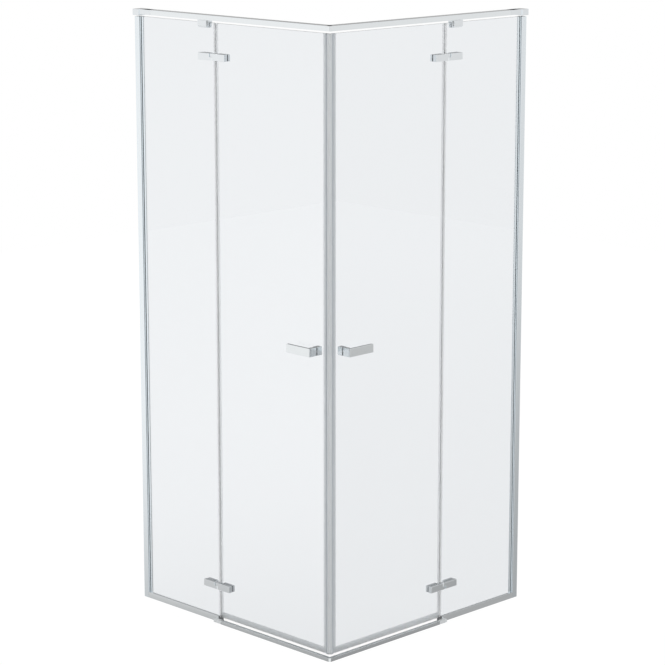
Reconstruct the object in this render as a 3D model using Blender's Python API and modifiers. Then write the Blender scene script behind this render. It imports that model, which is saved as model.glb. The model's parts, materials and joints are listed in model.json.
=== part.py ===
"""Corner-entry shower cabin: two glass sides that meet at 90 degrees, each a fixed panel and a hinged door.

World frame: metres, +Z up, floor at z = 0, origin under the middle of the bounding box. The walls are at -X and +Y,
and the entry corner is at +X -Y.

Each side is built in a frame of its own: x runs from the wall to the corner, y inward from the middle plane of the
glass, z up. The right side is the same side mirrored in the corner's diagonal.
"""
import math

import bmesh
import bpy
from mathutils import Matrix, Vector

# Whole cabin
SIDE = 0.900  # from the wall to the other side's outer face
HEIGHT = 2.000  # from the floor to the top of the bars
SEAT = 0.0003  # gap between pieces that touch
OVERRUN = 0.004  # how far a cutter runs past what it cuts
WELD = 0.00001
ARC_STEPS = 6  # steps in a quarter circle

# Glass
GLASS = 0.006
GLASS_EDGE = 0.0004  # ground edge
FIXED_WIDTH = 0.376  # from the wall to the fixed glass's free edge
DOOR_GAP = 0.0055  # between the fixed glass and the door glass
DOOR_RISE = 0.018  # from the floor to the door glass
GLASS_DROP = 0.008  # from the bars down to the glass
CORNER_CLEARANCE = 0.011  # from the door glass to the corner of the middle planes
GLASS_HOLE = 0.005  # radius of a hole for a boss or a bolt

# Wall profile and the glass channel inside it
PROFILE_WIDTH = 0.022
PROFILE_DEPTH = 0.022
PROFILE_WALL = 0.0015
PROFILE_DROP = 0.0005  # from the glass's top edge down to the profile's end
WALL_HOLE = 0.003  # radius of a hole for a wall screw
WALL_HOLE_COUNT = 4
WALL_HOLE_INSET = 0.120  # from the profile's ends
CHANNEL_BACK = 0.005  # from the wall to the channel
CHANNEL_SHOULDER = 0.001  # from the wall profile's lip back to the channel's wide body
CHANNEL_NECK = 0.012  # how far the narrow neck stands out of the wall profile
CHANNEL_SLOT = 0.012  # from the wall to the bottom of the glass slot
CHANNEL_WALL = 0.0014
CHANNEL_RIB = 0.0015

# Bottom profile under the fixed glass
BOTTOM_HEIGHT = 0.020
BOTTOM_WALL = 0.0015
BOTTOM_GLASS_SEAT = 0.005  # from the floor to the fixed glass
BOTTOM_CAP = 0.0014
BOTTOM_LUG = 0.008
BOTTOM_LUG_FOOT = 0.005  # from the floor to the cap's lugs

# Threshold in front of the doors
THRESHOLD_DEPTH = 0.0122
THRESHOLD_HEIGHT = 0.012
THRESHOLD_ROUND = 0.0012
THRESHOLD_CAP_START = 0.011  # from the fixed glass's free edge back to the end cap
THRESHOLD_CAP_LENGTH = 0.035
THRESHOLD_CHAMFER = 0.005  # leg of the corner piece's chamfer

# Top bars, their wall brackets and glass clamps
BAR_WIDTH = 0.032
BAR_HEIGHT = 0.016
BAR_WALL = 0.0015
BAR_ROUND = 0.0006
FLANGE_LENGTH = 0.029
FLANGE_WIDTH = 0.040
FLANGE_HEIGHT = 0.020
SOCKET_LENGTH = 0.054
TONGUE_LENGTH = 0.027
WEDGE_START = 0.007  # from the flange to the slot
WEDGE_LENGTH = 0.037
WEDGE_WIDTH = 0.027
WEDGE_DEPTH = 0.008
WEDGE_SUNK = 0.0003
CONNECTOR_ARM = 0.060
KEY_WIDTH = 0.013  # the connector's key in the mitre of the bars
KEY_LENGTH = 0.027
KEY_SUNK = 0.0003
POCKET_DEPTH = 0.004  # pocket in the top of a wedge and of the key
POCKET_RIM = 0.0012
CLAMP_SETBACK = 0.024  # from the fixed glass's free edge back to the clamp
CLAMP_LENGTH = 0.040
CLAMP_REACH = 0.0127  # outer jaw's thickness
CLAMP_PLATE = 0.0077  # inner jaw's thickness
CLAMP_GRIP = 0.016  # how far the jaws reach down the glass
CLAMP_CHAMFER = 0.005
CLAMP_ROUND = 0.0005

# Hinges
HINGE_BLOCK = 0.0137  # outer thickness, which is the knuckle's diameter too
HINGE_HEIGHT = 0.022
HINGE_ROUND = 0.0007
HINGE_FIXED_ARM = 0.0595  # from the pivot to the block's end
HINGE_DOOR_ARM = 0.0635  # from the pivot to the leaf's end
PIVOT_SETBACK = 0.0035  # from the fixed glass's free edge back to the pivot
KNUCKLE_CLEARANCE = 0.0004
PIN_RADIUS = 0.003
PIN_CLEARANCE = 0.0001
PIN_SUNK = 0.0002
PIN_STEPS = 24
UPPER_HINGE_DROP = 0.106  # from the glass's top edge down to the hinge's middle
LOWER_HINGE_RISE = 0.107  # from the door glass's bottom edge up to the hinge's middle
PLATE = 0.0087  # inner plates' thickness
FIXED_PLATE_LENGTH = 0.044
DOOR_PLATE_LENGTH = 0.045
BOSS_RADIUS = 0.0035
BOSS_SPACING = 0.022

# Handle
HANDLE_MIDDLE = 0.990  # from the floor
HANDLE_CORNER_DISTANCE = 0.055  # from the corner of the middle planes back to the handle's end
HANDLE_LENGTH = 0.104
HANDLE_TALL = 0.027
HANDLE_GRIP = 0.010  # the grip's thickness
HANDLE_FINGER_GAP = 0.0207  # between the glass's outer face and the grip
HANDLE_LEG = 0.014
HANDLE_ROUND = 0.0009
KNOB_WIDTH = 0.018
KNOB_REACH = 0.0207
BOLT_RADIUS = 0.003
BOLT_DEPTH = 0.012  # how far the bolt goes into the leg

# Door seals
SEAL_WALL = 0.0014
SEAL_DROP = 0.002  # from the door glass down to the seals' lower ends
HINGE_SEAL_FLANGE = 0.0065
HINGE_SEAL_WEB = 0.003
HINGE_SEAL_FIN = 0.0110  # how far the fin laps back behind the fixed glass
HINGE_SEAL_FIN_WALL = 0.0011
SEAL_NOTCH_CLEARANCE = 0.0005
SEAL_WEB = 0.0017
DRIP_FLANGE = 0.016  # how far the drip seal reaches up the glass
DRIP_LIP_REACH = 0.0073
DRIP_LIP_DROP = 0.003
DRIP_LIP_THICKNESS = 0.0012
MAGNET_FLANGE = 0.0113
MAGNET_HEAD = 0.007  # half the head's thickness
MAGNET_TIP = 0.003  # from the corner of the middle planes out to the tip, along each side

# Places worked out from the sizes above
HALF_GLASS = GLASS / 2
HALF_PROFILE = PROFILE_WIDTH / 2
CORNER = SIDE - HALF_PROFILE  # where the middle planes of the two sides meet
GLASS_FACE = HALF_GLASS + SEAT  # where a piece on the glass begins
BAR_BOTTOM = HEIGHT - BAR_HEIGHT
GLASS_TOP = BAR_BOTTOM - GLASS_DROP
PROFILE_TOP = GLASS_TOP - PROFILE_DROP
CHANNEL_END = PROFILE_DEPTH + CHANNEL_NECK
DOOR_START = FIXED_WIDTH + DOOR_GAP
DOOR_END = CORNER - CORNER_CLEARANCE
SOCKET_END = FLANGE_LENGTH + SOCKET_LENGTH
PIVOT_X = FIXED_WIDTH - PIVOT_SETBACK
KNUCKLE_RADIUS = HINGE_BLOCK / 2
PIVOT_Y = -(GLASS_FACE + KNUCKLE_RADIUS)
HINGE_FRONT = -(GLASS_FACE + HINGE_BLOCK)
UPPER_HINGE_Z = GLASS_TOP - UPPER_HINGE_DROP
LOWER_HINGE_Z = DOOR_RISE + LOWER_HINGE_RISE
FIXED_PLATE_START = PIVOT_X - HINGE_FIXED_ARM
DOOR_PLATE_START = PIVOT_X + HINGE_DOOR_ARM - DOOR_PLATE_LENGTH
SEAL_BOTTOM = DOOR_RISE - SEAL_DROP
SEAL_FACE = GLASS_FACE + SEAL_WALL
HINGE_SEAL_START = DOOR_START - SEAT - HINGE_SEAL_WEB
HANDLE_END = CORNER - HANDLE_CORNER_DISTANCE
HANDLE_LEG_START = HANDLE_END - HANDLE_LEG
HANDLE_OUTER = HALF_GLASS + HANDLE_FINGER_GAP + HANDLE_GRIP
BOLT_X = HANDLE_END - HANDLE_LEG / 2
THRESHOLD_INNER = HALF_PROFILE + SEAT
THRESHOLD_OUTER = THRESHOLD_INNER + THRESHOLD_DEPTH
THRESHOLD_CAP_X = FIXED_WIDTH - THRESHOLD_CAP_START
THRESHOLD_START = THRESHOLD_CAP_X + THRESHOLD_CAP_LENGTH + SEAT

# Finishes: colour, roughness, metallic value, transmission
FINISHES = {
    "polished_aluminium": ((0.80, 0.82, 0.83), 0.22, 1.0, 0.0),
    "chrome": ((0.86, 0.87, 0.88), 0.08, 1.0, 0.0),
    "clear_glass": ((0.93, 0.96, 0.95), 0.02, 0.0, 0.9),
    "clear_seal": ((0.72, 0.74, 0.75), 0.35, 0.0, 0.4),
    "grey_plastic": ((0.62, 0.64, 0.65), 0.40, 0.0, 0.0),
    "black_plastic": ((0.03, 0.03, 0.03), 0.40, 0.0, 0.0),
    "steel": ((0.55, 0.56, 0.58), 0.30, 1.0, 0.0),
}


def clear_scene():
    """Remove every object of the starting scene."""
    for item in list(bpy.data.objects):
        bpy.data.objects.remove(item, do_unlink=True)


def new_collection(name):
    """Make a collection in the scene."""
    group = bpy.data.collections.new(name)
    bpy.context.scene.collection.children.link(group)
    return group


clear_scene()
CABIN = new_collection("shower_cabin")
CUTTERS = new_collection("cutters")


# Building blocks

def paint(item, finish):
    """Give an object a material of its own in the named finish."""
    colour, roughness, metallic, transmission = FINISHES[finish]
    material = bpy.data.materials.new(item.name + "_finish")
    material.use_nodes = True
    shader = material.node_tree.nodes["Principled BSDF"]
    shader.inputs["Base Color"].default_value = (*colour, 1)
    shader.inputs["Roughness"].default_value = roughness
    shader.inputs["Metallic"].default_value = metallic
    shader.inputs["Transmission Weight"].default_value = transmission
    item.data.materials.append(material)


def place(item, carrier, finish):
    """Link an object placed in a side's frame to its carrier; without a finish it is a cutter."""
    item.parent = carrier
    if carrier.parent:
        item.location -= carrier.location
    if finish:
        CABIN.objects.link(item)
        paint(item, finish)
        return item
    CUTTERS.objects.link(item)
    item.hide_render = True
    item.display_type = "WIRE"
    return item


def box(name, low, high, carrier, finish=None):
    """A box between two corners, with its origin at its middle."""
    low, high = Vector(low), Vector(high)
    form = bmesh.new()
    bmesh.ops.create_cube(form, size=1)
    bmesh.ops.scale(form, vec=high - low, verts=form.verts)
    mesh = bpy.data.meshes.new(name)
    form.to_mesh(mesh)
    form.free()
    item = bpy.data.objects.new(name, mesh)
    item.location = (low + high) / 2
    return place(item, carrier, finish)


def rods(name, radius, lines, carrier, finish=None):
    """Round rods of one radius between pairs of points, as one object."""
    origin = (Vector(lines[0][0]) + Vector(lines[0][1])) / 2
    form = bmesh.new()
    for start, end in lines:
        start, end = Vector(start), Vector(end)
        turn = (end - start).to_track_quat("Z", "Y").to_matrix().to_4x4()
        bmesh.ops.create_cone(form, cap_ends=True, segments=PIN_STEPS, radius1=radius, radius2=radius,
                              depth=(end - start).length,
                              matrix=Matrix.Translation((start + end) / 2 - origin) @ turn)
    mesh = bpy.data.meshes.new(name)
    form.to_mesh(mesh)
    form.free()
    mesh.shade_smooth()
    mesh.set_sharp_from_angle(angle=math.radians(40))
    item = bpy.data.objects.new(name, mesh)
    item.location = origin
    return place(item, carrier, finish)


def outline_curve(name, loops, length):
    """A flat curve with the given closed loops, thickened evenly to both sides."""
    curve = bpy.data.curves.new(name, "CURVE")
    curve.dimensions = "2D"
    curve.fill_mode = "BOTH"
    curve.extrude = length / 2
    for loop in loops:
        spline = curve.splines.new("POLY")
        spline.points.add(len(loop) - 1)
        for point, (across, up) in zip(spline.points, loop):
            point.co = (across, up, 0, 1)
        spline.use_cyclic_u = True
    return curve


def extrusion(name, loops, start, end, along, carrier, finish=None):
    """Extrude outlines: along z they are drawn in plan (x, y), along x in cross-section (y, z)."""
    drawn = bpy.data.objects.new(name + "_outline", outline_curve(name + "_outline", loops, end - start))
    bpy.context.scene.collection.objects.link(drawn)
    graph = bpy.context.evaluated_depsgraph_get()
    mesh = bpy.data.meshes.new_from_object(drawn.evaluated_get(graph))
    bpy.data.objects.remove(drawn, do_unlink=True)
    form = bmesh.new()
    form.from_mesh(mesh)
    bmesh.ops.remove_doubles(form, verts=form.verts, dist=WELD)
    bmesh.ops.dissolve_degenerate(form, dist=WELD, edges=form.edges)
    bmesh.ops.dissolve_limit(form, angle_limit=math.radians(1), verts=form.verts, edges=form.edges)
    bmesh.ops.recalc_face_normals(form, faces=form.faces)
    form.to_mesh(mesh)
    form.free()
    mesh.name = name
    mesh.shade_smooth()
    mesh.set_sharp_from_angle(angle=math.radians(30))
    item = bpy.data.objects.new(name, mesh)
    middle = (start + end) / 2
    if along == "x":
        item.location = (middle, 0, 0)
        item.rotation_euler = (math.radians(90), 0, math.radians(90))
    else:
        item.location = (0, 0, middle)
    return place(item, carrier, finish)


def round_edges(item, width, segments=2):
    """Round the sharp edges of an object."""
    bevel = item.modifiers.new("rounded_edges", "BEVEL")
    bevel.width = width
    bevel.segments = segments
    bevel.limit_method = "ANGLE"
    bevel.angle_limit = math.radians(40)
    return item


def combine(item, other, operation):
    """Cut another object out of this one, or join it on."""
    boolean = item.modifiers.new(operation.lower() + "_" + other.name, "BOOLEAN")
    boolean.operation = operation
    boolean.solver = "EXACT"
    boolean.object = other
    return item


def cut(item, *others):
    """Cut other objects out of this one."""
    for other in others:
        combine(item, other, "DIFFERENCE")
    return item


def join(item, *others):
    """Join other objects onto this one."""
    for other in others:
        combine(item, other, "UNION")
    return item


def mirrored(points):
    """Half an outline and its mirror image in y, as one closed loop."""
    return points + [(-across, up) for across, up in reversed(points)]


def rectangle(half_width, low, high):
    """A rectangle about the middle plane, in cross-section."""
    return mirrored([(half_width, low), (half_width, high)])


def arc(centre, radius, start_deg, end_deg):
    """Points along an arc, from its start to its end."""
    steps = round(abs(end_deg - start_deg) / 90 * ARC_STEPS)
    angles = [math.radians(start_deg + (end_deg - start_deg) * step / steps) for step in range(steps + 1)]
    return [(centre[0] + radius * math.cos(angle), centre[1] + radius * math.sin(angle)) for angle in angles]


def empty(name, parent, location):
    """An empty that carries the pieces of a side or of a door."""
    item = bpy.data.objects.new(name, None)
    item.parent = parent
    item.location = location
    CABIN.objects.link(item)
    return item


# Frame of one side

def wall_profile(hand, side):
    """U channel on the wall, open towards the glass, with holes for the wall screws."""
    inner = HALF_PROFILE - PROFILE_WALL
    section = [(0, -HALF_PROFILE), (PROFILE_DEPTH, -HALF_PROFILE), (PROFILE_DEPTH, -inner), (PROFILE_WALL, -inner),
               (PROFILE_WALL, inner), (PROFILE_DEPTH, inner), (PROFILE_DEPTH, HALF_PROFILE), (0, HALF_PROFILE)]
    profile = extrusion(hand + "_wall_profile", [section], 0, PROFILE_TOP, "z", side, "polished_aluminium")
    pitch = (PROFILE_TOP - 2 * WALL_HOLE_INSET) / (WALL_HOLE_COUNT - 1)
    heights = [WALL_HOLE_INSET + index * pitch for index in range(WALL_HOLE_COUNT)]
    lines = [((-OVERRUN, 0, height), (PROFILE_WALL + OVERRUN, 0, height)) for height in heights]
    cut(profile, rods(hand + "_wall_holes", WALL_HOLE, lines, side))


def glass_channel(hand, side):
    """Channel that slides in the wall profile: a wide body with a rib, and a neck that grips the glass."""
    wide = HALF_PROFILE - PROFILE_WALL - SEAT
    neck = GLASS_FACE + CHANNEL_WALL
    shoulder = PROFILE_DEPTH - CHANNEL_SHOULDER
    rib = CHANNEL_SLOT - CHANNEL_RIB
    half = [(CHANNEL_SLOT, GLASS_FACE), (CHANNEL_END, GLASS_FACE), (CHANNEL_END, neck), (shoulder, neck),
            (shoulder, wide), (CHANNEL_BACK, wide), (CHANNEL_BACK, wide - CHANNEL_WALL), (rib, wide - CHANNEL_WALL)]
    section = half + [(along, -inward) for along, inward in reversed(half)]
    extrusion(hand + "_glass_channel", [section], BOTTOM_HEIGHT + SEAT, PROFILE_TOP, "z", side, "polished_aluminium")


def bottom_profile(hand, side):
    """Thin-walled channel on the floor that holds the fixed glass, with its end cap."""
    chamber_in = GLASS_FACE + BOTTOM_WALL
    chamber_out = HALF_PROFILE - BOTTOM_WALL
    slot_floor = BOTTOM_GLASS_SEAT - SEAT
    section = mirrored([(chamber_in, slot_floor - BOTTOM_WALL), (chamber_in, BOTTOM_HEIGHT - BOTTOM_WALL),
                        (chamber_out, BOTTOM_HEIGHT - BOTTOM_WALL), (chamber_out, 0), (HALF_PROFILE, 0),
                        (HALF_PROFILE, BOTTOM_HEIGHT), (GLASS_FACE, BOTTOM_HEIGHT), (GLASS_FACE, slot_floor)])
    extrusion(hand + "_bottom_profile", [section], PROFILE_DEPTH + SEAT, FIXED_WIDTH, "x", side,
              "polished_aluminium")
    cap_start = FIXED_WIDTH + SEAT
    cap_end = cap_start + BOTTOM_CAP
    cap = box(hand + "_bottom_profile_end_cap", (cap_start, -HALF_PROFILE, 0),
              (cap_end, HALF_PROFILE, BOTTOM_HEIGHT), side, "black_plastic")
    for name, sign in (("outer", -1), ("inner", 1)):
        edges = sorted((sign * (chamber_in + SEAT), sign * (chamber_out - SEAT)))
        lug = box(f"{hand}_cap_lug_{name}", (cap_start - BOTTOM_LUG, edges[0], BOTTOM_LUG_FOOT),
                  ((cap_start + cap_end) / 2, edges[1], BOTTOM_HEIGHT - BOTTOM_WALL - SEAT), side)
        join(cap, lug)


def mitre_cutter(name, setback, side):
    """Half space past the corner's diagonal, less a setback, as a box turned 45 degrees."""
    reach = SIDE / 2
    cutter = box(name, (CORNER - reach, -reach, -OVERRUN), (CORNER + reach, reach, HEIGHT + OVERRUN), side)
    cutter.rotation_euler.z = math.radians(45)
    step = (reach - setback) * math.cos(math.radians(45))
    cutter.location += Vector((step, step, 0))
    return cutter


def threshold(hand, side):
    """Low bar on the floor in front of the door, mitred for the corner piece, with its end cap."""
    bar = box(hand + "_threshold", (THRESHOLD_START, -THRESHOLD_OUTER, 0),
              (CORNER + THRESHOLD_OUTER + OVERRUN, -THRESHOLD_INNER, THRESHOLD_HEIGHT), side, "polished_aluminium")
    round_edges(bar, THRESHOLD_ROUND)
    setback = THRESHOLD_CHAMFER * math.cos(math.radians(45)) + SEAT
    cut(bar, mitre_cutter(hand + "_threshold_mitre", setback, side))
    cap = box(hand + "_threshold_end_cap", (THRESHOLD_CAP_X, -THRESHOLD_OUTER, 0),
              (THRESHOLD_START - SEAT, -THRESHOLD_INNER, THRESHOLD_HEIGHT), side, "grey_plastic")
    round_edges(cap, THRESHOLD_ROUND)


def mitre_key(name, clearance, low, top, side):
    """Upright block along the mitre of the bars, the size of the connector's key and a clearance round it."""
    half_width = KEY_WIDTH / 2 + clearance
    half_length = KEY_LENGTH / 2 + clearance
    key = box(name, (CORNER - half_width, -half_length, low), (CORNER + half_width, half_length, top), side)
    key.rotation_euler.z = math.radians(45)
    return key


def top_bar(hand, side):
    """Flat tube over the side, mitred at the corner and notched for the connector's key."""
    half = BAR_WIDTH / 2
    outer = rectangle(half, BAR_BOTTOM, HEIGHT)
    inner = rectangle(half - BAR_WALL, BAR_BOTTOM + BAR_WALL, HEIGHT - BAR_WALL)
    bar = extrusion(hand + "_top_bar", [outer, inner], SOCKET_END + SEAT, CORNER + half + OVERRUN, "x", side,
                    "polished_aluminium")
    cut(bar, mitre_cutter(hand + "_bar_mitre", SEAT / 2, side),
        mitre_key(hand + "_key_notch", SEAT, HEIGHT - BAR_HEIGHT / 2, HEIGHT + OVERRUN, side))


def bar_wall_bracket(hand, side):
    """Socket on the wall: a flange, a body like the bar and a tongue in it, with a hollow wedge in its top slot."""
    half = BAR_WIDTH / 2
    play = BAR_WALL + SEAT
    bracket = box(hand + "_bar_wall_bracket", (0, -FLANGE_WIDTH / 2, HEIGHT - FLANGE_HEIGHT),
                  (FLANGE_LENGTH, FLANGE_WIDTH / 2, HEIGHT), side, "chrome")
    round_edges(bracket, BAR_ROUND, 1)
    socket = box(hand + "_bracket_socket", (FLANGE_LENGTH / 2, -half, BAR_BOTTOM), (SOCKET_END, half, HEIGHT), side)
    tongue = box(hand + "_bracket_tongue", (FLANGE_LENGTH, play - half, BAR_BOTTOM + play),
                 (SOCKET_END + TONGUE_LENGTH, half - play, HEIGHT - play), side)
    slot_start = FLANGE_LENGTH + WEDGE_START
    slot_end = slot_start + WEDGE_LENGTH
    slot_half = WEDGE_WIDTH / 2
    slot = box(hand + "_bracket_slot", (slot_start, -slot_half, HEIGHT - WEDGE_DEPTH),
               (slot_end, slot_half, HEIGHT + OVERRUN), side)
    cut(join(bracket, socket, tongue), slot)
    wedge = box(hand + "_bar_wedge", (slot_start + SEAT, SEAT - slot_half, HEIGHT - WEDGE_DEPTH + SEAT),
                (slot_end - SEAT, slot_half - SEAT, HEIGHT - WEDGE_SUNK), side, "black_plastic")
    rim = SEAT + POCKET_RIM
    cut(wedge, box(hand + "_wedge_pocket", (slot_start + rim, rim - slot_half, HEIGHT - POCKET_DEPTH),
                   (slot_end - rim, slot_half - rim, HEIGHT + OVERRUN), side))


def bar_clamp(hand, side):
    """Clamp under the bar: an outer jaw that reaches over the glass's edge, and an inner jaw."""
    end = FIXED_WIDTH - CLAMP_SETBACK
    start = end - CLAMP_LENGTH
    top = BAR_BOTTOM - SEAT
    foot = GLASS_TOP - CLAMP_GRIP
    front = -(GLASS_FACE + CLAMP_REACH)
    over = GLASS_TOP + SEAT
    section = [(front, top), (front, foot + CLAMP_CHAMFER), (front + CLAMP_CHAMFER, foot), (-GLASS_FACE, foot),
               (-GLASS_FACE, over), (HALF_GLASS, over), (HALF_GLASS, top)]
    clamp = extrusion(hand + "_bar_clamp", [section], start, end, "x", side, "chrome")
    round_edges(clamp, CLAMP_ROUND, 1)
    plate = box(hand + "_bar_clamp_plate", (start, GLASS_FACE, foot), (end, GLASS_FACE + CLAMP_PLATE, top), side,
                "chrome")
    round_edges(plate, CLAMP_ROUND, 1)


# Glass and hinges of one side

def hinge_outline(reach, heading):
    """Plan of a hinge half: a bar from its far end to a knuckle round the pivot."""
    far = PIVOT_X + heading * reach
    turn = 90 if heading < 0 else -270
    knuckle = arc((PIVOT_X, PIVOT_Y), KNUCKLE_RADIUS, -90, turn)
    return [(far, -GLASS_FACE), (far, HINGE_FRONT)] + knuckle


def hinge_half(name, reach, heading, height, knuckle_up, carrier):
    """Outer half of a hinge, whose knuckle fills the upper or the lower half of its height."""
    low = height - HINGE_HEIGHT / 2
    high = height + HINGE_HEIGHT / 2
    half = extrusion(name, [hinge_outline(reach, heading)], low, high, "z", carrier, "chrome")
    round_edges(half, HINGE_ROUND, 1)
    edge = PIVOT_X + heading * (KNUCKLE_RADIUS + KNUCKLE_CLEARANCE)
    spare_edge = PIVOT_X - heading * (KNUCKLE_RADIUS + OVERRUN)
    middle_gap = KNUCKLE_CLEARANCE / 2
    if knuckle_up:
        floor, roof = low - OVERRUN, height + middle_gap
    else:
        floor, roof = height - middle_gap, high + OVERRUN
    recess = box(name + "_recess", (min(edge, spare_edge), HINGE_FRONT - OVERRUN, floor),
                 (max(edge, spare_edge), OVERRUN - GLASS_FACE, roof), carrier)
    bore = rods(name + "_bore", PIN_RADIUS + PIN_CLEARANCE,
                [((PIVOT_X, PIVOT_Y, low - OVERRUN), (PIVOT_X, PIVOT_Y, high + OVERRUN))], carrier)
    return cut(half, recess, bore)


def boss_places(start, length):
    """Where a plate's two bosses pass through the glass, measured from the wall."""
    middle = start + length / 2
    return middle - BOSS_SPACING / 2, middle + BOSS_SPACING / 2


def hinge_plate(name, start, length, height, carrier):
    """Inner plate of a hinge, with two bosses that pass through the glass."""
    half_height = HINGE_HEIGHT / 2
    plate = box(name, (start, GLASS_FACE, height - half_height),
                (start + length, GLASS_FACE + PLATE, height + half_height), carrier, "chrome")
    round_edges(plate, HINGE_ROUND, 1)
    lines = [((across, -HALF_GLASS, height), (across, GLASS_FACE + PLATE / 2, height))
             for across in boss_places(start, length)]
    join(plate, rods(name + "_bosses", BOSS_RADIUS, lines, carrier))


def pane(name, start, end, bottom, holes, carrier):
    """A glass pane with ground edges and round holes."""
    glass = box(name, (start, -HALF_GLASS, bottom), (end, HALF_GLASS, GLASS_TOP), carrier, "clear_glass")
    round_edges(glass, GLASS_EDGE, 1)
    reach = HALF_GLASS + OVERRUN
    lines = [((across, -reach, height), (across, reach, height)) for across, height in holes]
    cut(glass, rods(name + "_holes", GLASS_HOLE, lines, carrier))


def fixed_panel(hand, side, hinges):
    """Fixed glass with the hinge halves and pins that carry the door."""
    holes = [(across, height) for _, height, _ in hinges
             for across in boss_places(FIXED_PLATE_START, FIXED_PLATE_LENGTH)]
    pane(hand + "_fixed_glass", CHANNEL_SLOT + SEAT, FIXED_WIDTH, BOTTOM_GLASS_SEAT, holes, side)
    for level, height, leaf_up in hinges:
        stem = f"{hand}_{level}_hinge"
        hinge_half(stem + "_block", HINGE_FIXED_ARM, -1, height, not leaf_up, side)
        hinge_plate(stem + "_backplate", FIXED_PLATE_START, FIXED_PLATE_LENGTH, height, side)
        sunk = HINGE_HEIGHT / 2 - PIN_SUNK
        rods(stem + "_pin", PIN_RADIUS, [((PIVOT_X, PIVOT_Y, height - sunk), (PIVOT_X, PIVOT_Y, height + sunk))],
             side, "steel")


def door_panel(hand, door, hinges):
    """Door glass with the hinge leaves."""
    holes = [(across, height) for _, height, _ in hinges
             for across in boss_places(DOOR_PLATE_START, DOOR_PLATE_LENGTH)]
    holes.append((BOLT_X, HANDLE_MIDDLE))
    pane(hand + "_door_glass", DOOR_START, DOOR_END, DOOR_RISE, holes, door)
    for level, height, leaf_up in hinges:
        stem = f"{hand}_{level}"
        hinge_half(stem + "_hinge_leaf", HINGE_DOOR_ARM, 1, height, leaf_up, door)
        hinge_plate(stem + "_leaf_plate", DOOR_PLATE_START, DOOR_PLATE_LENGTH, height, door)


# Handle and seals of one door

def handle(hand, door):
    """L-shaped grip outside and knob inside, held together by a bolt through the glass."""
    low = HANDLE_MIDDLE - HANDLE_TALL / 2
    high = HANDLE_MIDDLE + HANDLE_TALL / 2
    start = HANDLE_END - HANDLE_LENGTH
    back = HANDLE_GRIP - HANDLE_OUTER
    plan = [(start, back), (start, -HANDLE_OUTER), (HANDLE_END, -HANDLE_OUTER), (HANDLE_END, -GLASS_FACE),
            (HANDLE_LEG_START, -GLASS_FACE), (HANDLE_LEG_START, back)]
    grip = extrusion(hand + "_handle_grip", [plan], low, high, "z", door, "chrome")
    round_edges(grip, HANDLE_ROUND)
    bolt_tip = -(GLASS_FACE + BOLT_DEPTH)
    bore = rods(hand + "_handle_bore", BOLT_RADIUS + SEAT,
                [((BOLT_X, bolt_tip - SEAT, HANDLE_MIDDLE), (BOLT_X, OVERRUN - GLASS_FACE, HANDLE_MIDDLE))], door)
    cut(grip, bore)
    knob = box(hand + "_handle_knob", (HANDLE_END - KNOB_WIDTH, GLASS_FACE, low),
               (HANDLE_END, GLASS_FACE + KNOB_REACH, high), door, "chrome")
    round_edges(knob, HANDLE_ROUND)
    bolt = rods(hand + "_handle_bolt", BOLT_RADIUS,
                [((BOLT_X, bolt_tip, HANDLE_MIDDLE), (BOLT_X, GLASS_FACE + KNOB_REACH / 2, HANDLE_MIDDLE))], door)
    join(knob, bolt)


def bottom_seal(hand, door):
    """Drip seal clipped on the door glass's lower edge, with a lip that sheds water inward."""
    top = DOOR_RISE + DRIP_FLANGE
    slot_floor = DOOR_RISE - SEAT
    lip_end = SEAL_FACE + DRIP_LIP_REACH
    lip_foot = SEAL_BOTTOM - DRIP_LIP_DROP
    section = [(-SEAL_FACE, top), (-SEAL_FACE, SEAL_BOTTOM), (SEAL_FACE, SEAL_BOTTOM), (lip_end, lip_foot),
               (lip_end, lip_foot + DRIP_LIP_THICKNESS), (SEAL_FACE, SEAL_BOTTOM + DRIP_LIP_THICKNESS),
               (SEAL_FACE, top), (GLASS_FACE, top), (GLASS_FACE, slot_floor), (-GLASS_FACE, slot_floor),
               (-GLASS_FACE, top)]
    start = DOOR_START + HINGE_SEAL_FLANGE + SEAT
    end = DOOR_END - MAGNET_FLANGE - SEAT
    extrusion(hand + "_door_bottom_seal", [section], start, end, "x", door, "clear_seal")


def hinge_seal(hand, door, hinges):
    """Gap seal on the door's hinge edge, whose fin laps behind the fixed glass."""
    flange_end = DOOR_START + HINGE_SEAL_FLANGE
    slot = DOOR_START - SEAT
    fin_tip = HINGE_SEAL_START - HINGE_SEAL_FIN
    fin_face = SEAL_FACE - HINGE_SEAL_FIN_WALL
    section = [(HINGE_SEAL_START, -SEAL_FACE), (flange_end, -SEAL_FACE), (flange_end, -GLASS_FACE),
               (slot, -GLASS_FACE), (slot, GLASS_FACE), (flange_end, GLASS_FACE), (flange_end, SEAL_FACE),
               (fin_tip, SEAL_FACE), (fin_tip, fin_face), (HINGE_SEAL_START, fin_face)]
    seal = extrusion(hand + "_door_hinge_seal", [section], SEAL_BOTTOM, GLASS_TOP, "z", door, "clear_seal")
    for level, height, _ in hinges:
        reach = HINGE_HEIGHT / 2 + SEAL_NOTCH_CLEARANCE
        notch = box(f"{hand}_{level}_seal_notch", (HINGE_SEAL_START - OVERRUN, -SEAL_FACE - OVERRUN, height - reach),
                    (flange_end + OVERRUN, -HALF_GLASS, height + reach), door)
        cut(seal, notch)
    fin_foot = BOTTOM_HEIGHT + SEAL_NOTCH_CLEARANCE
    foot = box(hand + "_seal_foot_cut", (fin_tip - OVERRUN, HALF_GLASS, SEAL_BOTTOM - OVERRUN),
               (HINGE_SEAL_START + SEAT, SEAL_FACE + OVERRUN, fin_foot), door)
    cut(seal, foot)


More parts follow.
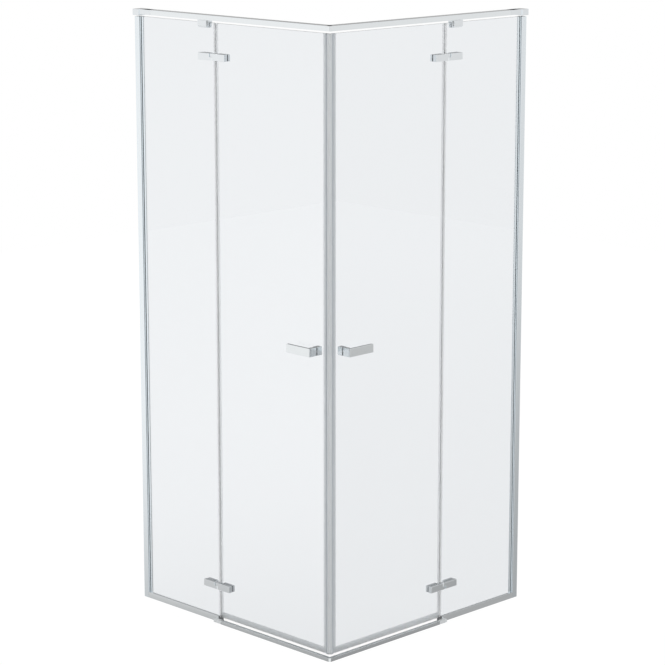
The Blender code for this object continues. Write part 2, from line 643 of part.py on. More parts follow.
def magnet_seal(hand, door):
    """Magnet strip on the door's corner edge, with a face along the corner's diagonal."""
    flange_start = DOOR_END - MAGNET_FLANGE
    slot = DOOR_END + SEAT
    head = slot + SEAL_WEB
    half_seat = SEAT / 2 / math.cos(math.radians(45))
    tip = CORNER + MAGNET_TIP - half_seat
    chamfer_x = CORNER + 2 * MAGNET_TIP - MAGNET_HEAD
    inner_tip = CORNER - MAGNET_HEAD - half_seat
    section = [(flange_start, -SEAL_FACE), (head, -SEAL_FACE), (head, -MAGNET_HEAD), (chamfer_x, -MAGNET_HEAD),
               (tip, -MAGNET_TIP), (inner_tip, MAGNET_HEAD), (head, MAGNET_HEAD), (head, SEAL_FACE),
               (flange_start, SEAL_FACE), (flange_start, GLASS_FACE), (slot, GLASS_FACE), (slot, -GLASS_FACE),
               (flange_start, -GLASS_FACE)]
    extrusion(hand + "_door_magnet_seal", [section], SEAL_BOTTOM, GLASS_TOP, "z", door, "clear_seal")


# Corner pieces, which the two sides share

def bar_corner_connector(side):
    """Angle piece inside the two mitred bars, with a hollow key that shows in the top of the mitre."""
    play = BAR_WALL + SEAT
    half = BAR_WIDTH / 2 - play
    plan = [(CORNER - CONNECTOR_ARM, -half), (CORNER + half, -half), (CORNER + half, CONNECTOR_ARM),
            (CORNER - half, CONNECTOR_ARM), (CORNER - half, half), (CORNER - CONNECTOR_ARM, half)]
    connector = extrusion("bar_corner_connector", [plan], BAR_BOTTOM + play, HEIGHT - play, "z", side,
                          "black_plastic")
    join(connector, mitre_key("connector_key", 0, HEIGHT - BAR_HEIGHT / 2, HEIGHT - KEY_SUNK, side))
    cut(connector, mitre_key("key_pocket", -POCKET_RIM, HEIGHT - POCKET_DEPTH, HEIGHT + OVERRUN, side))


def threshold_corner(side):
    """Corner piece between the two threshold bars, with a chamfer along its outer edge."""
    inner, outer, leg = THRESHOLD_INNER, THRESHOLD_OUTER, THRESHOLD_CHAMFER
    plan = [(CORNER + inner - leg, -inner), (CORNER + outer - leg, -outer), (CORNER + outer, leg - outer),
            (CORNER + inner, leg - inner), (CORNER + inner, -inner)]
    extrusion("threshold_corner", [plan], 0, THRESHOLD_HEIGHT, "z", side, "grey_plastic")


def build_side(hand, side, hinges):
    """One glass side: its frame, its fixed panel and its door."""
    wall_profile(hand, side)
    glass_channel(hand, side)
    bottom_profile(hand, side)
    threshold(hand, side)
    top_bar(hand, side)
    bar_wall_bracket(hand, side)
    bar_clamp(hand, side)
    fixed_panel(hand, side, hinges)
    door = empty(hand + "_door", side, (PIVOT_X, PIVOT_Y, 0))
    door_panel(hand, door, hinges)
    handle(hand, door)
    bottom_seal(hand, door)
    hinge_seal(hand, door, hinges)
    magnet_seal(hand, door)


def build_cabin():
    """Both sides about the corner, with the origin under the middle of the whole."""
    corner = (CORNER - HANDLE_OUTER) / 2
    left = empty("left_side", None, (corner - CORNER, -corner, 0))
    right = empty("right_side", None, (corner, CORNER - corner, 0))
    right.rotation_euler.z = math.radians(-90)
    right.scale = (1, -1, 1)
    build_side("left", left, [("upper", UPPER_HINGE_Z, True), ("lower", LOWER_HINGE_Z, True)])
    build_side("right", right, [("upper", UPPER_HINGE_Z, True), ("lower", LOWER_HINGE_Z, False)])
    bar_corner_connector(left)
    threshold_corner(left)


build_cabin()
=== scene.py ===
import json
import math

import bmesh
import bpy
from mathutils import Matrix, Vector

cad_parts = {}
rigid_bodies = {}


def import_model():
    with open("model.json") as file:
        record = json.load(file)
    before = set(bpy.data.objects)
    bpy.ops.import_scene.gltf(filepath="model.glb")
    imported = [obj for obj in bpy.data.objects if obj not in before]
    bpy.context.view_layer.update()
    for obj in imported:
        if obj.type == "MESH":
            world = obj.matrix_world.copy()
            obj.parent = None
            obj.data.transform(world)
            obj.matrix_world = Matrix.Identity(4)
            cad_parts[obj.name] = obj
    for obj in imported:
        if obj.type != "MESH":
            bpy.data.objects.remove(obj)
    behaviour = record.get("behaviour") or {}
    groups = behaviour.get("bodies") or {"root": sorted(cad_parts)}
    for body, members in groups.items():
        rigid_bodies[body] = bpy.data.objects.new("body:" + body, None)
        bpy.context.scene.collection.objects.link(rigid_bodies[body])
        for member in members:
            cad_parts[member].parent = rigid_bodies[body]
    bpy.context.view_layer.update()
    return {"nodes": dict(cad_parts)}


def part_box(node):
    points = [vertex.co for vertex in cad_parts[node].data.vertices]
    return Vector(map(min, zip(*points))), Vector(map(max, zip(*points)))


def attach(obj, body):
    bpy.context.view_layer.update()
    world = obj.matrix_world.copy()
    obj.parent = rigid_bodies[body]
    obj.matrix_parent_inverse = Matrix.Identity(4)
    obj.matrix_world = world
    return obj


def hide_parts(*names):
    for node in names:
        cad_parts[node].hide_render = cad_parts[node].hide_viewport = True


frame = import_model()


# Camera
# A long lens stands in front of the entry corner, a little above the height of the bars.
# It looks down the diagonal of the cabin, so both doors show alike.
CAMERA_PLACE = (5.585, -5.537, 2.643)
CAMERA_TURN = math.radians(45.2)
CAMERA_DROP = math.radians(12.307)
lens = bpy.data.cameras.new("camera")
lens.sensor_width = 36
lens.lens = 130.69
lens.clip_end = 200
camera = bpy.data.objects.new("camera", lens)
camera.location = CAMERA_PLACE
camera.rotation_euler = (math.radians(90) - CAMERA_DROP, 0, CAMERA_TURN)
bpy.context.scene.collection.objects.link(camera)
bpy.context.scene.camera = camera
bpy.context.scene.view_settings.view_transform = "Standard"


# Studio
# The cabin stands on a white floor in a round white studio. Its soft light is even at eye level, falls off
# towards the floor at both sides and is dim high up behind the cabin, so that bright metal shows its edges.
def maths(tree, operation, first, second=0.0):
    """The result of a maths node on two sockets or numbers."""
    node = tree.nodes.new("ShaderNodeMath")
    node.operation = operation
    for socket, value in zip(node.inputs, (first, second)):
        if isinstance(value, bpy.types.NodeSocket):
            tree.links.new(value, socket)
        else:
            socket.default_value = value
    return node.outputs[0]


def curve(tree, factor, stops):
    """Values along a ramp, from pairs of position and value."""
    node = tree.nodes.new("ShaderNodeValToRGB")
    tree.links.new(factor, node.inputs["Fac"])
    elements = node.color_ramp.elements
    while len(elements) < len(stops):
        elements.new(0.5)
    for element, (position, value) in zip(elements, stops):
        element.position = position
        element.color = (value, value, value, 1)
    return node.outputs["Color"]


def sight(tree):
    """1 where the camera sees a surface itself or through glass, and 1 where it sees it mirrored."""
    path = tree.nodes.new("ShaderNodeLightPath")
    bounces = maths(tree, "ADD", path.outputs["Glossy Depth"], path.outputs["Diffuse Depth"])
    straight = maths(tree, "LESS_THAN", bounces, 0.5)
    through = maths(tree, "MULTIPLY", path.outputs["Is Transmission Ray"], straight)
    mirrored = maths(tree, "GREATER_THAN", path.outputs["Glossy Depth"], 0.5)
    return maths(tree, "MAXIMUM", path.outputs["Is Camera Ray"], through), mirrored


# Pairs of the depth below the horizon, or behind the cabin the height above it, and the light there.
LEFT_LEVELS = ((0, 1), (0.05, 0.90), (0.09, 0.90), (0.12, 0.945), (0.2, 0.96), (0.25, 0.945), (0.28, 0.85),
               (0.296, 0.73), (0.311, 0.625), (0.32, 0.555), (0.335, 0.45), (0.45, 0.40), (0.6, 0.85),
               (1, 0.95))
RIGHT_LEVELS = ((0, 1), (0.05, 0.83), (0.085, 0.80), (0.12, 0.757), (0.17, 0.737), (0.184, 0.717),
                (0.2, 0.64), (0.232, 0.542), (0.248, 0.485), (0.28, 0.43), (0.305, 0.375), (0.314, 0.375),
                (0.32, 0.405), (0.335, 0.34), (0.45, 0.30), (0.6, 0.8), (1, 0.9))
BACK_LEVELS = ((0, 1), (0.06, 0.6), (0.09, 0.42), (0.11, 0.09), (0.14, 0.09), (0.2, 0.3), (0.3, 0.33),
               (0.355, 0.31), (0.7, 0.8), (1, 1))
DIAGONAL = math.sqrt(0.5)
studio = bpy.data.worlds.new("studio")
bpy.context.scene.world = studio
studio.use_nodes = True
tree = studio.node_tree
tree.nodes.clear()
axes = tree.nodes.new("ShaderNodeSeparateXYZ")
tree.links.new(tree.nodes.new("ShaderNodeTexCoord").outputs["Generated"], axes.inputs[0])
east, north, rise = axes.outputs
rightward = maths(tree, "MULTIPLY", maths(tree, "ADD", east, north), DIAGONAL)
leftward = maths(tree, "MULTIPLY", rightward, -1)
backward = maths(tree, "MULTIPLY", maths(tree, "SUBTRACT", north, east), DIAGONAL)
below = maths(tree, "MAXIMUM", maths(tree, "MULTIPLY", rise, -1), 0)
above = maths(tree, "MAXIMUM", rise, 0)
level = 1.0
for heading, height, levels in ((leftward, below, LEFT_LEVELS), (rightward, below, RIGHT_LEVELS),
                                (backward, above, BACK_LEVELS)):
    share = maths(tree, "MAXIMUM", heading, 0)
    loss = maths(tree, "MULTIPLY", share, maths(tree, "SUBTRACT", 1, curve(tree, height, levels)))
    level = maths(tree, "SUBTRACT", level, loss)
seen, mirrored = sight(tree)
background = tree.nodes.new("ShaderNodeBackground")
tree.links.new(maths(tree, "MAXIMUM", level, seen), background.inputs["Color"])
output = tree.nodes.new("ShaderNodeOutputWorld")
tree.links.new(background.outputs[0], output.inputs["Surface"])

FLOOR_HALF = 6
FLOOR_DROP = 0.0003  # under the cabin's feet
FLOOR_COLOUR = (0.9, 0.9, 0.9, 1)
FLOOR_GLOW = 1.03
FLOOR_SHADE = 0.08  # how much of the floor's look comes from the light that falls on it
floor_form = bmesh.new()
bmesh.ops.create_grid(floor_form, x_segments=1, y_segments=1, size=FLOOR_HALF)
floor_mesh = bpy.data.meshes.new("studio_floor")
floor_form.to_mesh(floor_mesh)
floor_form.free()
floor = bpy.data.objects.new("studio_floor", floor_mesh)
floor.location.z = -FLOOR_DROP
bpy.context.scene.collection.objects.link(floor)
paint = bpy.data.materials.new("studio_floor")
paint.use_nodes = True
tree = paint.node_tree
tree.nodes.clear()
matt = tree.nodes.new("ShaderNodeBsdfDiffuse")
matt.inputs["Color"].default_value = FLOOR_COLOUR
glow = tree.nodes.new("ShaderNodeEmission")
glow.inputs["Strength"].default_value = FLOOR_GLOW
clear = tree.nodes.new("ShaderNodeBsdfTransparent")
seen, mirrored = sight(tree)
surface = matt.outputs[0]
for share, other in ((maths(tree, "MULTIPLY", seen, 1 - FLOOR_SHADE), glow), (mirrored, clear)):
    mix = tree.nodes.new("ShaderNodeMixShader")
    tree.links.new(share, mix.inputs[0])
    tree.links.new(surface, mix.inputs[1])
    tree.links.new(other.outputs[0], mix.inputs[2])
    surface = mix.outputs[0]
output = tree.nodes.new("ShaderNodeOutputMaterial")
tree.links.new(surface, output.inputs["Surface"])
floor_mesh.materials.append(paint)

SOFTBOX_PLACE = Vector((2.5, -4.5, 6))
SOFTBOX_AIM = Vector((0, 0, 1))
softbox = bpy.data.lights.new("softbox", "AREA")
softbox.shape = "DISK"
softbox.size = 4
softbox.energy = 60
softbox_stand = bpy.data.objects.new("softbox", softbox)
softbox_stand.location = SOFTBOX_PLACE
softbox_stand.rotation_euler = (SOFTBOX_AIM - SOFTBOX_PLACE).to_track_quat("-Z", "Y").to_euler()
bpy.context.scene.collection.objects.link(softbox_stand)


# Wall profiles
# Extruded aluminium channels, bright anodised and 22 mm square, which are screwed to the two walls first.
# Die lines run along their length, and a press-in cap covers each locking screw on the inner side.
def stretched_noise(tree, stretch, detail):
    """Noise over the surface, with its own number of waves per metre along each axis."""
    scaled = tree.nodes.new("ShaderNodeVectorMath")
    scaled.operation = "MULTIPLY"
    tree.links.new(tree.nodes.new("ShaderNodeTexCoord").outputs["Object"], scaled.inputs[0])
    tree.links.new(stretch, scaled.inputs[1])
    noise = tree.nodes.new("ShaderNodeTexNoise")
    noise.inputs["Scale"].default_value = 1
    noise.inputs["Detail"].default_value = detail
    tree.links.new(scaled.outputs[0], noise.inputs["Vector"])
    return noise.outputs["Fac"]


FINE_DETAIL = 3
BROAD_DETAIL = 2
grain = bpy.data.node_groups.new("surface_grain", "ShaderNodeTree")
grain.interface.new_socket("Fine", in_out="INPUT", socket_type="NodeSocketVector")
grain.interface.new_socket("Broad", in_out="INPUT", socket_type="NodeSocketVector")
grain.interface.new_socket("Height", in_out="OUTPUT", socket_type="NodeSocketFloat")
grain.interface.new_socket("Sheen", in_out="OUTPUT", socket_type="NodeSocketFloat")
grain_in = grain.nodes.new("NodeGroupInput")
grain_out = grain.nodes.new("NodeGroupOutput")
fine = stretched_noise(grain, grain_in.outputs["Fine"], FINE_DETAIL)
broad = stretched_noise(grain, grain_in.outputs["Broad"], BROAD_DETAIL)
grain.links.new(fine, grain_out.inputs["Height"])
half_fine = maths(grain, "MULTIPLY", fine, 0.5)
half_broad = maths(grain, "MULTIPLY", broad, 0.5)
grain.links.new(maths(grain, "ADD", half_fine, half_broad), grain_out.inputs["Sheen"])
RELIEF_STRENGTH = 0.3


def stuff(name, colour, rough, fine, broad, depth, tone=0.03, **plain):
    """A material whose colour, gloss and relief vary with the grain; plain values go on the shader."""
    made = bpy.data.materials.new(name)
    made.use_nodes = True
    tree = made.node_tree
    shader = tree.nodes["Principled BSDF"]
    for label, value in plain.items():
        shader.inputs[label.replace("_", " ")].default_value = value
    texture = tree.nodes.new("ShaderNodeGroup")
    texture.node_tree = grain
    texture.inputs["Fine"].default_value = fine
    texture.inputs["Broad"].default_value = broad
    mix = tree.nodes.new("ShaderNodeMix")
    mix.data_type = "RGBA"
    mix.inputs["A"].default_value = (*[channel * (1 - tone) for channel in colour], 1)
    mix.inputs["B"].default_value = (*[min(1, channel * (1 + tone)) for channel in colour], 1)
    tree.links.new(texture.outputs["Sheen"], mix.inputs["Factor"])
    tree.links.new(mix.outputs["Result"], shader.inputs["Base Color"])
    gloss = maths(tree, "MULTIPLY", texture.outputs["Sheen"], rough[1] - rough[0])
    tree.links.new(maths(tree, "ADD", gloss, rough[0]), shader.inputs["Roughness"])
    relief = tree.nodes.new("ShaderNodeBump")
    relief.inputs["Strength"].default_value = RELIEF_STRENGTH
    relief.inputs["Distance"].default_value = depth
    tree.links.new(texture.outputs["Height"], relief.inputs["Height"])
    tree.links.new(relief.outputs["Normal"], shader.inputs["Normal"])
    return made


# Each side is drawn with x from its wall to the corner, y inward from the middle of the glass, and z up.
HANDS = ("left", "right")
wall = {"left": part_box("left_wall_profile")[0].x, "right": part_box("right_wall_profile")[1].y}
middle = {"left": sum(corner.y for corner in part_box("left_fixed_glass")) / 2,
          "right": sum(corner.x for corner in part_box("right_fixed_glass")) / 2}
room = {"left": Matrix.Translation((wall["left"], middle["left"], 0)),
        "right": Matrix(((0, -1, 0, middle["right"]), (-1, 0, 0, wall["right"]), (0, 0, 1, 0), (0, 0, 0, 1)))}


def turned(form, centre, heading, rings, steps=24):
    """Add a closed turned part to a form; a ring is a distance along its axis, a radius and any flats."""
    axis = Vector(heading).normalized()
    side = axis.orthogonal().normalized()
    other = axis.cross(side)
    made = []
    for distance, radius, *flats in rings:
        ring = []
        for step in range(steps):
            angle = math.tau * step / steps
            reach = radius
            if flats:
                half = math.pi / flats[0]
                reach = radius / math.cos((angle + half) % (2 * half) - half)
            across = side * math.cos(angle) + other * math.sin(angle)
            ring.append(form.verts.new(Vector(centre) + axis * distance + across * reach))
        made.append(ring)
    form.faces.new(made[0])
    form.faces.new(made[-1])
    for ring, after in zip(made, made[1:]):
        for index in range(steps):
            turn = (index + 1) % steps
            form.faces.new((ring[index], ring[turn], after[turn], after[index]))
    return form


def raw_piece(name, hand, form):
    """An object from a form drawn in a side's frame."""
    bmesh.ops.transform(form, matrix=room[hand], verts=form.verts)
    bmesh.ops.recalc_face_normals(form, faces=form.faces)
    mesh = bpy.data.meshes.new(name)
    form.to_mesh(mesh)
    form.free()
    mesh.shade_smooth()
    return bpy.data.objects.new(name, mesh)


BROKEN_ANGLE = math.radians(32)  # edges that turn more than this are broken
CORNER_JOIN = 0.000002


def soften(piece, edge, segments=2):
    """Break the sharp edges of a piece and keep its flat faces flat."""
    if edge:
        bevel = piece.modifiers.new("broken_edges", "BEVEL")
        bevel.width = edge
        bevel.segments = segments
        bevel.limit_method = "ANGLE"
        bevel.angle_limit = BROKEN_ANGLE
        weld = piece.modifiers.new("joined_corners", "WELD")
        weld.merge_threshold = CORNER_JOIN
    even = piece.modifiers.new("flat_faces", "WEIGHTED_NORMAL")
    even.weight = 100
    even.keep_sharp = True


def flattened(source, target, join, turn):
    """Copy a mesh with corners closer than join made one, and faces whole that turn fewer degrees."""
    form = bmesh.new()
    form.from_mesh(source)
    bmesh.ops.remove_doubles(form, verts=form.verts, dist=join)
    bmesh.ops.dissolve_limit(form, angle_limit=math.radians(turn), verts=form.verts, edges=form.edges)
    form.to_mesh(target)
    form.free()
    target.shade_smooth()


def show(piece, body, finish, material, *nodes):
    """Put a piece in the scene in its material, on its body and in place of its planned nodes; its finish is
    not used.
    """
    piece.data.materials.clear()
    piece.data.materials.append(material)
    bpy.context.scene.collection.objects.link(piece)
    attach(piece, body)
    if nodes:
        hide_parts(*nodes)
    return piece


def finished(node, edge, finish, material, segments=2):
    """A planned node's piece with its sharp edges broken."""
    mesh = bpy.data.meshes.new(node + "_finished")
    flattened(frame["nodes"][node].data, mesh, join=0.000001, turn=0.5)
    if "custom_normal" in mesh.attributes:
        mesh.attributes.remove(mesh.attributes["custom_normal"])
    mesh.materials.clear()
    piece = bpy.data.objects.new(node + "_finished", mesh)
    soften(piece, edge, segments)
    body = frame["nodes"][node].parent.name.split(":")[1]
    return show(piece, body, finish, material, node)


UPRIGHT_EDGE = 0.0003
upright_metal = stuff("anodised_upright", (0.875, 0.925, 0.955), (0.08, 0.2), (1500, 1500, 6), (90, 90, 2),
                      0.00001, Metallic=1.0)
chrome = stuff("chrome", (0.855, 0.885, 0.905), (0.03, 0.08), (700, 700, 700), (40, 40, 40), 0.000003,
               Metallic=1.0)
INWARD = (0, 1, 0)
SCREW_CAP_HEIGHTS = (0.25, 1.0, 1.75)
SCREW_CAP_PLACE = (0.012, 0.0105)  # from the wall, and from the middle of the glass
SCREW_CAP_RADIUS = 0.0045
SCREW_CAP_SUNK = 0.0005
SCREW_CAP_RISE = 0.0008
SCREW_CAP = ((0, SCREW_CAP_RADIUS), (SCREW_CAP_SUNK + SCREW_CAP_RISE * 0.5, SCREW_CAP_RADIUS),
             (SCREW_CAP_SUNK + SCREW_CAP_RISE, SCREW_CAP_RADIUS * 0.8))
SCREW_CAP_EDGE = 0.0002
for hand in HANDS:
    finished(hand + "_wall_profile", UPRIGHT_EDGE, "polished_aluminium", upright_metal)
    for number, height in enumerate(SCREW_CAP_HEIGHTS):
        form = turned(bmesh.new(), (*SCREW_CAP_PLACE, height), INWARD, SCREW_CAP, steps=32)
        cap = raw_piece(f"{hand}_screw_cap_{number + 1}", hand, form)
        soften(cap, SCREW_CAP_EDGE)
        show(cap, "frame", "chrome", chrome)


# Glass channels
# Narrower channels slide in the wall profiles, so that a wall that isn't plumb can be taken up. Their outer
# lips grip the fixed glass on pale tape, the inner lips are shorter, and grey gaskets close the gap between.
wall_rubber = stuff("grey_rubber", (0.125, 0.13, 0.138), (0.45, 0.6), (2000, 2000, 2000), (90, 90, 90),
                    0.00004)
tape = stuff("pale_tape", (0.80, 0.82, 0.83), (0.5, 0.6), (900, 900, 900), (60, 60, 60), 0.00002)
PROFILE_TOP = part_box("left_wall_profile")[1].z
GLASS_FACE = 0.0033  # where a piece on the glass begins
CHANNEL_BACK = 0.005
CHANNEL_FLOOR = 0.012  # where the glass slot begins
CHANNEL_RIB = 0.0105
CHANNEL_SHOULDER = 0.021
CHANNEL_WIDE = 0.0092
CHANNEL_WALL = 0.0014
CHANNEL_EDGE = 0.0002
OUTER_LIP = 0.034
INNER_LIP = 0.0306
CHANNEL_FOOT = 0.0203
STRIP_FOOT = CHANNEL_FOOT + 0.0002
GASKET = (0.0069, 0.0094)  # from the middle of the glass
GASKET_BACK = CHANNEL_SHOULDER + 0.0001
GASKET_FACE = 0.0223
GASKET_BULGE = (0.0004, 0.0009)  # its rounded face, back and sideways
GASKET_DRAFT = 0.0001
TAPE = (0.00302, 0.00328)  # from the middle of the glass
TAPE_START = CHANNEL_FLOOR + 0.0005
TAPE_SHORT = 0.0002  # behind the lip's end
TAPE_TOP = PROFILE_TOP - 0.001


def lip(way, end):
    """Half of the channel's outline, on one side of the glass."""
    lip_face = way * (GLASS_FACE + CHANNEL_WALL)
    hollow = way * (CHANNEL_WIDE - CHANNEL_WALL)
    return [(CHANNEL_FLOOR, way * GLASS_FACE), (end, way * GLASS_FACE), (end, lip_face),
            (CHANNEL_SHOULDER, lip_face), (CHANNEL_SHOULDER, way * CHANNEL_WIDE),
            (CHANNEL_BACK, way * CHANNEL_WIDE), (CHANNEL_BACK, hollow), (CHANNEL_RIB, hollow)]


def gasket(way):
    """The gasket's outline in plan, on one side of the glass."""
    near, far = GASKET
    back, sideways = GASKET_BULGE
    return [(GASKET_BACK, way * near), (GASKET_FACE - back, way * (near + GASKET_DRAFT)),
            (GASKET_FACE, way * (near + sideways)), (GASKET_FACE, way * (far - sideways)),
            (GASKET_FACE - back, way * (far - GASKET_DRAFT)), (GASKET_BACK, way * far)]


def bar(form, outline, start, end, along):
    """Add a closed bar to a form, drawn up from its outline in plan or drawn out from its cross-section."""
    rings = []
    for place in (start, end):
        points = [(a, b, place) if along == "up" else (place, a, b) for a, b in outline]
        rings.append([form.verts.new(point) for point in points])
    form.faces.new(rings[0])
    form.faces.new(rings[1])
    for index in range(len(outline)):
        after = (index + 1) % len(outline)
        form.faces.new((rings[0][index], rings[0][after], rings[1][after], rings[1][index]))
    return form


def block(form, low, high):
    """Add a box between two corners to a form."""
    outline = [(low[0], low[1]), (high[0], low[1]), (high[0], high[1]), (low[0], high[1])]
    return bar(form, outline, low[2], high[2], "up")


def extruded(name, hand, outline, start, end, along, body, finish, material, edge=0.0, nodes=()):
    """A length of an extrusion, drawn up or drawn out, in place of its planned nodes if it has any."""
    piece = raw_piece(name, hand, bar(bmesh.new(), outline, start, end, along))
    soften(piece, edge)
    show(piece, body, finish, material, *nodes)


def slab(name, hand, low, high, body, finish, material, edge=0.0):
    """A flat piece between two corners."""
    piece = raw_piece(name, hand, block(bmesh.new(), low, high))
    soften(piece, edge)
    show(piece, body, finish, material)


for hand in HANDS:
    outline = lip(-1, OUTER_LIP) + lip(1, INNER_LIP)[::-1]
    extruded(hand + "_glass_channel_extrusion", hand, outline, CHANNEL_FOOT, PROFILE_TOP, "up", "frame",
             "polished_aluminium", upright_metal, CHANNEL_EDGE, [hand + "_glass_channel"])
    for face, way, end in (("outer", -1, OUTER_LIP), ("inner", 1, INNER_LIP)):
        extruded(f"{hand}_wall_gasket_{face}", hand, gasket(way), STRIP_FOOT, PROFILE_TOP, "up", "frame",
                 "black_plastic", wall_rubber)
        slab(f"{hand}_glazing_tape_{face}", hand, (TAPE_START, way * TAPE[0], STRIP_FOOT),
             (end - TAPE_SHORT, way * TAPE[1], TAPE_TOP), "frame", "grey_plastic", tape)


# Bottom profiles
# Thin aluminium channels on the floor that the fixed glass stands in. Their inner shoulder slopes, so that
# water runs off it, a thin pale wedge seals the glass outside, and a moulded cap closes the door end.
def level_anodised(name, colour, rough):
    """Anodised aluminium for each side's level pieces, with its die lines along them."""
    lines = {"left": ((6, 1500, 1500), (2, 90, 90)), "right": ((1500, 6, 1500), (90, 2, 90))}
    return {hand: stuff(f"{name}_{hand}", colour, rough, *lines[hand], 0.00001, Metallic=1.0)
            for hand in HANDS}


def moulded(name, colour, rough=(0.3, 0.45)):
    """Moulded plastic with a fine matt texture."""
    return stuff(name, colour, rough, (2500, 2500, 2500), (60, 60, 60), 0.00003)


def span(node):
    """The lowest and highest corner of a left-hand node, in its side's frame."""
    back = room["left"].inverted()
    return [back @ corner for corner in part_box(node)]


level_metal = level_anodised("anodised_level", (0.895, 0.925, 0.94), (0.04, 0.09))
dark_plastic = moulded("moulded_dark", (0.21, 0.215, 0.22))
bottom_low, bottom_high = span("left_bottom_profile")
BOTTOM_TOP = bottom_high.z
BOTTOM_HALF = bottom_high.y
BOTTOM_WALL = 0.0015
BOTTOM_EDGE = 0.0003
SLOT_FLOOR = 0.0047
SHOULDER_AT_GLASS = 0.0184
SHOULDER_AT_EDGE = 0.0145
UNDER_GLASS = 0.0025  # from the shoulder at the glass to the hollow under it
UNDER_EDGE = 0.0009
SLOT_HALF = GLASS_FACE + BOTTOM_WALL
HOLLOW_HALF = BOTTOM_HALF - BOTTOM_WALL
BOTTOM_SECTION = ((-BOTTOM_HALF, 0), (-BOTTOM_HALF, BOTTOM_TOP), (-GLASS_FACE, BOTTOM_TOP),
                  (-GLASS_FACE, SLOT_FLOOR), (GLASS_FACE, SLOT_FLOOR), (GLASS_FACE, SHOULDER_AT_GLASS),
                  (BOTTOM_HALF, SHOULDER_AT_EDGE), (BOTTOM_HALF, 0), (HOLLOW_HALF, 0),
                  (HOLLOW_HALF, SHOULDER_AT_EDGE - UNDER_EDGE), (SLOT_HALF, SHOULDER_AT_GLASS - UNDER_GLASS),
                  (SLOT_HALF, SLOT_FLOOR - BOTTOM_WALL), (-SLOT_HALF, SLOT_FLOOR - BOTTOM_WALL),
                  (-SLOT_HALF, BOTTOM_TOP - BOTTOM_WALL), (-HOLLOW_HALF, BOTTOM_TOP - BOTTOM_WALL),
                  (-HOLLOW_HALF, 0))
GLAZING_WEDGE = ((-0.00305, -0.0004), (-0.00325, -0.0004), (-0.00325, 0.00005), (-0.0042, 0.0001),
                 (-0.0038, 0.0005), (-0.0031, 0.0006))  # from the middle of the glass, and over the profile
GLAZING_START = 0.0345
GLAZING_END = 0.3755
for hand in HANDS:
    extruded(hand + "_bottom_rail", hand, BOTTOM_SECTION, bottom_low.x, bottom_high.x, "out", "frame",
             "polished_aluminium", level_metal[hand], BOTTOM_EDGE, [hand + "_bottom_profile"])
    finished(hand + "_bottom_profile_end_cap", BOTTOM_EDGE, "black_plastic", dark_plastic)
    outline = [(across, BOTTOM_TOP + up) for across, up in GLAZING_WEDGE]
    extruded(hand + "_glazing_wedge", hand, outline, GLAZING_START, GLAZING_END, "out", "frame",
             "grey_plastic", tape)


# Panes
# Clear toughened glass, 6 mm thick, with ground edges. The fixed panes stand in the profiles, and the doors
# hang on them.
clear_glass = stuff("clear_glass", (0.858, 0.877, 0.895), (0.0, 0.01), (4, 4, 4), (3, 3, 3), 0.00001,
                    tone=0.003, Transmission_Weight=1.0, IOR=1.5)
ground_edge = stuff("ground_glass_edge", (0.93, 0.965, 0.96), (0.4, 0.55), (900, 900, 900), (50, 50, 50),
                    0.000005, Transmission_Weight=0.7, IOR=1.5)
PANE_EDGE = 0.0001
FLAT = 0.99  # how square to its heading a face has to be
OUTWARD = (0, -1, 0)
facing_out = {hand: room[hand].to_3x3() @ Vector(OUTWARD) for hand in HANDS}
for hand in HANDS:
    for pane in ("_fixed_glass", "_door_glass"):
        piece = finished(hand + pane, PANE_EDGE, "clear_glass", clear_glass)
        piece.data.materials.append(ground_edge)
        for face in piece.data.polygons:
            face.material_index = 0 if abs(face.normal.dot(facing_out[hand])) > FLAT else 1


# Top bars
# Flat aluminium tubes over the glass that hold the walls and the entry corner together. Each slides on the
# tongue of a chromed wall bracket, locked by a black wedge and two button screws from below, and a black
# angle piece joins the two in the mitre.
CRISP_ANGLE = math.radians(35)


def turned_piece(name, hand, centre, heading, rings, body, finish, material, steps=24, nodes=()):
    """A turned piece with crisp edges, in place of its planned nodes if it has any."""
    piece = raw_piece(name, hand, turned(bmesh.new(), centre, heading, rings, steps))
    piece.data.set_sharp_from_angle(angle=CRISP_ANGLE)
    show(piece, body, finish, material, *nodes)


steel = stuff("turned_steel", (0.62, 0.63, 0.65), (0.2, 0.35), (1500, 1500, 200), (60, 60, 60), 0.00002,
              Metallic=1.0)
black_plastic = moulded("moulded_black", (0.03, 0.031, 0.033), (0.35, 0.5))
BAR_EDGE = 0.0005
BRACKET_EDGE = 0.0003
BAR_WEDGE_EDGE = 0.0002
BUTTON_SCREWS = {"bracket": 0.062, "bar": 0.096}  # distance from the wall
BUTTON_SEAT = span("left_top_bar")[0].z + 0.001
BUTTON = ((0, 0.0034), (0.0014, 0.0034), (0.0022, 0.0027), (0.0025, 0.0020), (0.0025, 0.0013, 6),
          (0.0012, 0.0013, 6))
DOWN = (0, 0, -1)
for hand in HANDS:
    finished(hand + "_top_bar", BAR_EDGE, "polished_aluminium", level_metal[hand])
    finished(hand + "_bar_wall_bracket", BRACKET_EDGE, "chrome", chrome)
    finished(hand + "_bar_wedge", BAR_WEDGE_EDGE, "black_plastic", black_plastic)
    for held, across in BUTTON_SCREWS.items():
        turned_piece(f"{hand}_{held}_button_screw", hand, (across, 0, BUTTON_SEAT), DOWN, BUTTON, "frame",
                     "steel", steel)
finished("bar_corner_connector", 0, "black_plastic", black_plastic)


# Bar clamps
# Chromed jaws under each bar that hold the free edge of the fixed glass between pale pads. The outer jaw is a
# cover with a grey insert in each end, and a countersunk screw above the glass draws the inner jaw to it.
CUT_ANGLE = math.radians(50)
COUNTERSINK_OVER = 0.0005  # how far a countersink's tool stands out of the face
COUNTERSINK_PLAY = 0.0002


